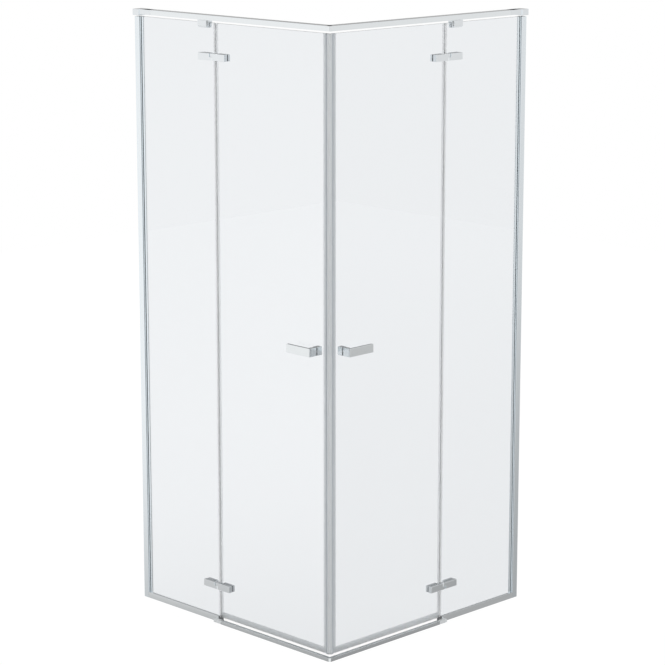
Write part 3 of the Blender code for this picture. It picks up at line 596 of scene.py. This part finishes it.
def carve(piece, hand, *cutters):
    """Cut forms drawn in a side's frame out of a piece and keep the result as its mesh."""
    helpers = []
    for form in cutters:
        helper = raw_piece("cutter", hand, form)
        bpy.context.scene.collection.objects.link(helper)
        boolean = piece.modifiers.new("cut", "BOOLEAN")
        boolean.solver = "EXACT"
        boolean.object = helper
        helpers.append(helper)
    bpy.context.scene.collection.objects.link(piece)
    graph = bpy.context.evaluated_depsgraph_get()
    mesh = bpy.data.meshes.new_from_object(piece.evaluated_get(graph))
    bpy.context.scene.collection.objects.unlink(piece)
    piece.modifiers.clear()
    piece.data = mesh
    for helper in helpers:
        bpy.data.objects.remove(helper)
    flattened(mesh, mesh, join=0.000005, turn=0.3)
    mesh.set_sharp_from_angle(angle=CUT_ANGLE)


def countersink(at, face, height, head):
    """The space of a countersunk screw in a face that looks inward."""
    shank = head * 0.5
    rings = ((0, head + COUNTERSINK_PLAY + COUNTERSINK_OVER), (COUNTERSINK_OVER, head + COUNTERSINK_PLAY),
             (COUNTERSINK_OVER + head * 0.6, shank), (COUNTERSINK_OVER + head * 1.2, shank))
    return turned(bmesh.new(), (at, face + COUNTERSINK_OVER, height), OUTWARD, rings, steps=32)


def countersunk_screw(name, hand, at, face, height, head, body):
    """A countersunk screw with a hexagon socket, just under a face that looks inward."""
    length = head * 1.1
    shank = head * 0.45
    socket = head * 0.5
    rim = 0.0002
    centre = (at, face - length - rim, height)
    rings = ((0, shank), (length - head * 0.55, shank), (length - rim, head), (length, head * 0.97),
             (length, socket, 6), (length * 0.7, socket, 6))
    turned_piece(name, hand, centre, INWARD, rings, body, "steel", steel, steps=36)


grey_plastic = moulded("moulded_grey", (0.62, 0.64, 0.65))
clamp_low, clamp_high = span("left_bar_clamp")
plate_low, plate_high = span("left_bar_clamp_plate")
GLASS_HALF = 0.003
GLASS_TOP = span("left_fixed_glass")[1].z
OVER_GLASS = GLASS_TOP + 0.0003
CLAMP_CHAMFER = 0.005
CLAMP_EDGE = 0.0004
CLAMP_SCREW = 0.003
CLAMP_SECTION = ((clamp_low.y, clamp_high.z), (clamp_low.y, clamp_low.z + CLAMP_CHAMFER),
                 (clamp_low.y + CLAMP_CHAMFER, clamp_low.z), (-GLASS_FACE, clamp_low.z),
                 (-GLASS_FACE, OVER_GLASS), (GLASS_HALF, OVER_GLASS), (GLASS_HALF, clamp_high.z))
INSERT_LOW = (clamp_low.y + 0.0020, clamp_low.z + 0.0062)
INSERT_HIGH = (clamp_low.y + 0.0092, clamp_high.z - 0.0014)
INSERT_DEEP = 0.003
INSERT_SUNK = 0.0012
INSERT_PLAY = 0.0001
INSERT_EDGE = 0.0002
INSERT_OVER = 0.001  # how far an insert's pocket runs out of the end
inserts = {"wall": (clamp_low.x - INSERT_OVER, clamp_low.x + INSERT_DEEP),
           "door": (clamp_high.x - INSERT_DEEP, clamp_high.x + INSERT_OVER)}
PAD = (0.00301, 0.00329)  # from the middle of the glass
CLAMP_PAD_SET_IN = 0.0004
CLAMP_PAD_TOP = GLASS_TOP - 0.0005
screw_at = (plate_low.x + plate_high.x) / 2
screw_height = (GLASS_TOP + plate_high.z) / 2
for hand in HANDS:
    jaw = raw_piece(hand + "_bar_clamp_jaw", hand,
                    bar(bmesh.new(), CLAMP_SECTION, clamp_low.x, clamp_high.x, "out"))
    carve(jaw, hand, *[block(bmesh.new(), (start, *INSERT_LOW), (end, *INSERT_HIGH))
                       for start, end in inserts.values()])
    soften(jaw, CLAMP_EDGE)
    show(jaw, "frame", "chrome", chrome, hand + "_bar_clamp")
    for end, (first, last) in inserts.items():
        low = (max(first, clamp_low.x + INSERT_SUNK), *[side + INSERT_PLAY for side in INSERT_LOW])
        high = (min(last, clamp_high.x - INSERT_SUNK), *[side - INSERT_PLAY for side in INSERT_HIGH])
        slab(f"{hand}_clamp_insert_{end}", hand, low, high, "frame", "grey_plastic", grey_plastic,
             INSERT_EDGE)
    plate = raw_piece(hand + "_bar_clamp_inner_jaw", hand, block(bmesh.new(), plate_low, plate_high))
    carve(plate, hand, countersink(screw_at, plate_high.y, screw_height, CLAMP_SCREW))
    soften(plate, CLAMP_EDGE)
    show(plate, "frame", "chrome", chrome, hand + "_bar_clamp_plate")
    countersunk_screw(hand + "_bar_clamp_screw", hand, screw_at, plate_high.y, screw_height, CLAMP_SCREW,
                      "frame")
    for face, way in (("outer", -1), ("inner", 1)):
        slab(f"{hand}_clamp_pad_{face}", hand,
             (clamp_low.x + CLAMP_PAD_SET_IN, way * PAD[0], clamp_low.z + CLAMP_PAD_SET_IN),
             (clamp_high.x - CLAMP_PAD_SET_IN, way * PAD[1], CLAMP_PAD_TOP), "frame", "grey_plastic", tape)


# Thresholds
# Low aluminium bars glued to the floor in front of the doors, with moulded ends beside the bottom profiles
# and a polished piece that closes the corner.
THRESHOLD_EDGE = 0.0004
THRESHOLD_CAP_EDGE = 0.0003
threshold_metal = level_anodised("anodised_threshold", (0.775, 0.80, 0.813), (0.05, 0.11))
low, high = span("left_threshold")
THRESHOLD_PLAN = ((low.x, high.y), (low.x, low.y), (high.x, low.y), (high.x - (high.y - low.y), high.y))
for hand in HANDS:
    extruded(hand + "_threshold_bar", hand, THRESHOLD_PLAN, low.z, high.z, "up", "frame",
             "polished_aluminium", threshold_metal[hand], THRESHOLD_EDGE, [hand + "_threshold"])
    finished(hand + "_threshold_end_cap", THRESHOLD_CAP_EDGE, "grey_plastic", grey_plastic)
finished("threshold_corner", THRESHOLD_CAP_EDGE, "grey_plastic", threshold_metal["left"])


# Hinges
# Each hinge is cast and chromed: two halves on the outer faces of the glass, whose knuckles share a steel
# pin, and two plates inside, screwed to them through the glass with grey sleeves and thin rubber pads.
rubber = stuff("black_rubber", (0.045, 0.047, 0.052), (0.45, 0.6), (2000, 2000, 2000), (90, 90, 90), 0.00004)
HINGE_EDGE = 0.0006
PLATE_EDGE = 0.0012
KNUCKLE_STEPS = 24
KNUCKLE_GAP = 0.0004
CUT_OVER = 0.004  # how far a cut runs out of the casting
CUT_PAST = 0.0002  # and past its face on the glass
HINGE_SCREW = 0.0045
HINGE_SCREW_OFF = 0.011  # from the middle of the plate
HINGE_PAD_SET_IN = 0.0006
BLOCK_PAD_END = 0.0030  # past the pivot
LEAF_PAD_START = 0.3886
SLEEVE_RADIUS = 0.0035
SLEEVE_START = -0.0029
SLEEVE_LENGTH = 0.0064
SLEEVE = ((0, SLEEVE_RADIUS), (SLEEVE_LENGTH, SLEEVE_RADIUS))
pin_low, pin_high = span("left_upper_hinge_pin")
pivot = (pin_low + pin_high) / 2
pin_radius = (pin_high.x - pin_low.x) / 2
bore_radius = pin_radius + 0.0001
PIN_CHAMFER = 0.0005
UP = (0, 0, 1)


def hinge_half(name, hand, low, high, knuckle_up):
    """The outer half of a hinge, with its knuckle in the upper or the lower half of its height."""
    radius = (high.y - low.y) / 2
    heading = -1 if pivot.x - low.x > high.x - pivot.x else 1
    far = low.x if heading < 0 else high.x
    outline = [(far, high.y), (far, low.y)]
    for step in range(KNUCKLE_STEPS + 1):
        angle = math.radians(-90 - heading * 180 * step / KNUCKLE_STEPS)
        outline.append((pivot.x + radius * math.cos(angle), pivot.y + radius * math.sin(angle)))
    half = raw_piece(name, hand, bar(bmesh.new(), outline, low.z, high.z, "up"))
    edge = pivot.x + heading * (radius + KNUCKLE_GAP)
    spare = pivot.x - heading * (radius + CUT_OVER)
    middle_z = (low.z + high.z) / 2
    if knuckle_up:
        bottom, top = low.z - CUT_OVER, middle_z + KNUCKLE_GAP / 2
    else:
        bottom, top = middle_z - KNUCKLE_GAP / 2, high.z + CUT_OVER
    recess = block(bmesh.new(), (min(edge, spare), low.y - CUT_OVER, bottom),
                   (max(edge, spare), high.y + CUT_PAST, top))
    bore = turned(bmesh.new(), (pivot.x, pivot.y, low.z - CUT_OVER), UP,
                  ((0, bore_radius), (high.z - low.z + 2 * CUT_OVER, bore_radius)), steps=32)
    carve(half, hand, recess, bore)
    soften(half, HINGE_EDGE, segments=3)
    return half


def hinge_side(hand, level, part, plate_part, body, knuckle_up):
    """One half of a hinge with its plate, pads, sleeves and screws, on its body."""
    half_name = f"{hand}_{level}_{part}"
    plate_name = f"{hand}_{level}_{plate_part}"
    half_low, half_high = span(f"left_{level}_{part}")
    half = hinge_half(half_name + "_casting", hand, half_low, half_high, knuckle_up)
    show(half, body, "chrome", chrome, half_name)
    low, high = span(f"left_{level}_{plate_part}")
    low.y = GLASS_FACE
    height = (half_low.z + half_high.z) / 2
    middle_x = (low.x + high.x) / 2
    places = {"a": middle_x - HINGE_SCREW_OFF, "b": middle_x + HINGE_SCREW_OFF}
    plate = raw_piece(plate_name + "_casting", hand, block(bmesh.new(), low, high))
    carve(plate, hand, *[countersink(at, high.y, height, HINGE_SCREW) for at in places.values()])
    soften(plate, PLATE_EDGE, segments=3)
    show(plate, body, "chrome", chrome, plate_name)
    if part == "hinge_block":
        start = half_low.x + HINGE_PAD_SET_IN
        end = min(half_high.x, pivot.x + BLOCK_PAD_END)
    else:
        start = max(half_low.x, LEAF_PAD_START)
        end = half_high.x - HINGE_PAD_SET_IN
    slab(half_name + "_pad", hand, (start, -PAD[1], half_low.z + HINGE_PAD_SET_IN),
         (end, -PAD[0], half_high.z - HINGE_PAD_SET_IN), body, "black_plastic", rubber)
    slab(plate_name + "_pad", hand, (low.x + HINGE_PAD_SET_IN, PAD[0], low.z + HINGE_PAD_SET_IN),
         (high.x - HINGE_PAD_SET_IN, PAD[1], high.z - HINGE_PAD_SET_IN), body, "black_plastic", rubber)
    for letter, at in places.items():
        turned_piece(f"{half_name}_sleeve_{letter}", hand, (at, SLEEVE_START, height), INWARD, SLEEVE, body,
                     "grey_plastic", grey_plastic)
        countersunk_screw(f"{half_name}_screw_{letter}", hand, at, high.y, height, HINGE_SCREW, body)


for hand in HANDS:
    for level in ("upper", "lower"):
        leaf_up = (hand, level) != ("right", "lower")
        hinge_side(hand, level, "hinge_block", "hinge_backplate", "frame", not leaf_up)
        hinge_side(hand, level, "hinge_leaf", "leaf_plate", hand + "_door", leaf_up)
        low, high = span(f"left_{level}_hinge_pin")
        length = high.z - low.z
        rings = ((0, pin_radius * 0.8), (PIN_CHAMFER, pin_radius), (length - PIN_CHAMFER, pin_radius),
                 (length, pin_radius * 0.8))
        turned_piece(f"{hand}_{level}_hinge_pin_turned", hand, (pivot.x, pivot.y, low.z), UP, rings,
                     "frame", "steel", steel, 32, [f"{hand}_{level}_hinge_pin"])


# Handles
# Chromed grips outside and knobs inside, of solid flat bar with broken edges. A steel bolt through the door
# glass draws each pair together on rubber pads, and a grub screw under the knob locks it.
handle_chrome = stuff("handle_chrome", (0.83, 0.86, 0.87), (0.04, 0.1), (700, 700, 700), (40, 40, 40),
                      0.000003, Metallic=1.0)
HANDLE_EDGE = 0.0008
GRIP_THICK = 0.010
LEG_THICK = 0.014
HANDLE_PAD_SET_IN = 0.0005
grip_low, grip_high = span("left_handle_grip")
knob_low, knob_high = span("left_handle_knob")
grip_back = grip_low.y + GRIP_THICK
leg_start = grip_high.x - LEG_THICK
GRIP_PLAN = ((grip_low.x, grip_back), (grip_low.x, grip_low.y), (grip_high.x, grip_low.y),
             (grip_high.x, -GLASS_FACE), (leg_start, -GLASS_FACE), (leg_start, grip_back))
bolt_at = (leg_start + grip_high.x) / 2
handle_height = (grip_low.z + grip_high.z) / 2
BOLT_RADIUS = 0.003
BOLT_START = -0.0153
BOLT_LENGTH = 0.0286
BOLT_CHAMFER = 0.0005
BOLT = ((0, BOLT_RADIUS * 0.85), (BOLT_CHAMFER, BOLT_RADIUS), (BOLT_LENGTH, BOLT_RADIUS))
BOLT_HOLE_RADIUS = BOLT_RADIUS + 0.0003
BOLT_HOLE_START = -0.0156
BOLT_HOLE_DEEP = 0.02
BOLT_HOLE = ((0, BOLT_HOLE_RADIUS), (BOLT_HOLE_DEEP, BOLT_HOLE_RADIUS))
GRUB_RADIUS = 0.0022
GRUB_SOCKET = GRUB_RADIUS * 0.55
GRUB_FROM_GLASS = 0.0136
GRUB_HEIGHT = 0.0033  # over the knob's foot
GRUB = ((0, GRUB_RADIUS), (0.0026, GRUB_RADIUS), (0.003, GRUB_RADIUS * 0.9), (0.003, GRUB_SOCKET, 6),
        (0.0014, GRUB_SOCKET, 6))
GRUB_HOLE_RADIUS = GRUB_RADIUS + 0.0002
GRUB_HOLE_OVER = 0.001  # how far its hole's tool stands out of the knob's foot
GRUB_HOLE_DEEP = 0.0045
GRUB_HOLE = ((0, GRUB_HOLE_RADIUS), (GRUB_HOLE_DEEP, GRUB_HOLE_RADIUS))
for hand in HANDS:
    door = hand + "_door"
    grip = raw_piece(hand + "_handle_grip_bar", hand,
                     bar(bmesh.new(), GRIP_PLAN, grip_low.z, grip_high.z, "up"))
    carve(grip, hand, turned(bmesh.new(), (bolt_at, BOLT_HOLE_START, handle_height), INWARD, BOLT_HOLE))
    soften(grip, HANDLE_EDGE, segments=3)
    show(grip, door, "chrome", handle_chrome, hand + "_handle_grip")
    knob = raw_piece(hand + "_handle_knob_block", hand,
                     block(bmesh.new(), (knob_low.x, GLASS_FACE, knob_low.z), knob_high))
    carve(knob, hand, turned(bmesh.new(), (bolt_at, GRUB_FROM_GLASS, knob_low.z - GRUB_HOLE_OVER), UP,
                             GRUB_HOLE))
    soften(knob, HANDLE_EDGE, segments=3)
    show(knob, door, "chrome", handle_chrome, hand + "_handle_knob")
    turned_piece(hand + "_handle_bolt", hand, (bolt_at, BOLT_START, handle_height), INWARD, BOLT, door,
                 "steel", steel)
    turned_piece(hand + "_handle_grub_screw", hand, (bolt_at, GRUB_FROM_GLASS, knob_low.z + GRUB_HEIGHT),
                 DOWN, GRUB, door, "steel", steel)
    for face, way, start in (("outer", -1, leg_start), ("inner", 1, knob_low.x)):
        slab(f"{hand}_handle_pad_{face}", hand,
             (start + HANDLE_PAD_SET_IN, way * PAD[0], grip_low.z + HANDLE_PAD_SET_IN),
             (grip_high.x - HANDLE_PAD_SET_IN, way * PAD[1], grip_high.z - HANDLE_PAD_SET_IN), door,
             "black_plastic", rubber)


# Door seals
# Clear soft PVC strips pushed on the edges of the door glass: a drip seal below with two lips, a gap seal
# with a fin at the hinges, and at the corner a head with a magnet strip, whose clip is a harder PVC.
# The magnet strip's pale colour is a painted reflection of the clear faces around it, and the head's
# outward faces are painted grey as a painted shade.
def clear_strip(name, colour, ior, fine=(300, 300, 20), broad=(40, 40, 4)):
    """Clear PVC with its draw lines along the strip."""
    return stuff(name, colour, (0.3, 0.42), fine, broad, 0.000005, Transmission_Weight=1.0, IOR=ior)


drip_seal = clear_strip("clear_drip_seal", (0.955, 0.968, 0.975), 1.38, (20, 20, 300), (4, 4, 40))
clear_seal = clear_strip("clear_seal", (0.975, 0.985, 0.997), 1.26)
# The grey seal is painted shade: it goes on the outward faces of the corner seal's head.
seal_wall_painted_shade = clear_strip("grey_clear_seal", (0.575, 0.61, 0.65), 1.4)
hard_seal = clear_strip("hard_clear_seal", (0.87, 0.885, 0.895), 1.4)
# The magnet strip is real, but its pale colour is a painted reflection of the clear seal faces around it.
pale_magnet = stuff("pale_magnet", (0.91, 0.97, 1.0), (0.4, 0.55), (900, 900, 60), (50, 50, 6), 0.00001)
drip_low, drip_high = span("left_door_bottom_seal")
magnet_low, magnet_high = span("left_door_magnet_seal")
DRIP_TOP = drip_high.z
DRIP_SLOT_FLOOR = 0.0177
SEAL_FACE = 0.0047
SEAL_FOOT = magnet_low.z
DRIP = ((-0.0044, DRIP_TOP - 0.0004), (-SEAL_FACE, DRIP_TOP - 0.0012), (-SEAL_FACE, SEAL_FOOT + 0.0004),
        (-0.0043, SEAL_FOOT), (0.0030, SEAL_FOOT), (0.0050, SEAL_FOOT - 0.0005), (0.0075, SEAL_FOOT - 0.0016),
        (0.0100, SEAL_FOOT - 0.0027), (0.0113, SEAL_FOOT - 0.0030), (0.0120, SEAL_FOOT - 0.0027),
        (0.0120, SEAL_FOOT - 0.0021), (0.0102, SEAL_FOOT - 0.0014), (0.0078, SEAL_FOOT - 0.0003),
        (0.0056, SEAL_FOOT + 0.0009), (SEAL_FACE, SEAL_FOOT + 0.0016), (SEAL_FACE, DRIP_TOP - 0.0012),
        (0.0044, DRIP_TOP - 0.0004), (0.0038, DRIP_TOP), (GLASS_FACE, DRIP_TOP - 0.0003),
        (GLASS_FACE, DRIP_SLOT_FLOOR), (-GLASS_FACE, DRIP_SLOT_FLOOR), (-GLASS_FACE, DRIP_TOP - 0.0003),
        (-0.0038, DRIP_TOP))
HINGE_SEAL_EDGE = 0.0002
MAGNET_SEAL_EDGE = 0.0003
CLIP_END = 0.87995  # where the harder clip ends and the soft head begins
MAGNET_CENTRE = Vector((0.88587, -0.00007))
MAGNET_LONG = Vector((-1, 1)).normalized() * 0.00325
MAGNET_THIN = Vector((1, 1)).normalized() * 0.0011
MAGNET_FOOT = magnet_low.z + 0.002
MAGNET_TOP = magnet_high.z - 0.002
MAGNET_PLAN = [MAGNET_CENTRE + MAGNET_LONG * along + MAGNET_THIN * across
               for along, across in ((-1, -1), (1, -1), (1, 1), (-1, 1))]
for hand in HANDS:
    door = hand + "_door"
    extruded(hand + "_drip_seal_strip", hand, DRIP, drip_low.x, drip_high.x, "out", door, "clear_seal",
             drip_seal, nodes=[hand + "_door_bottom_seal"])
    finished(hand + "_door_hinge_seal", HINGE_SEAL_EDGE, "clear_seal", clear_seal)
    corner_seal = finished(hand + "_door_magnet_seal", MAGNET_SEAL_EDGE, "clear_seal", clear_seal, segments=3)
    corner_seal.data.materials.append(hard_seal)
    corner_seal.data.materials.append(seal_wall_painted_shade)
    # The clip gets the harder PVC, and the head's outward faces get the grey seal, a painted shade.
    for face in corner_seal.data.polygons:
        if (room[hand].inverted() @ face.center).x < CLIP_END:
            face.material_index = 1
        elif face.normal.dot(facing_out[hand]) > FLAT:
            face.material_index = 2
    # The magnet strip's pale colour is a painted reflection.
    extruded(hand + "_magnet_strip", hand, MAGNET_PLAN, MAGNET_FOOT, MAGNET_TOP, "up", door, "clear_seal",
             pale_magnet)
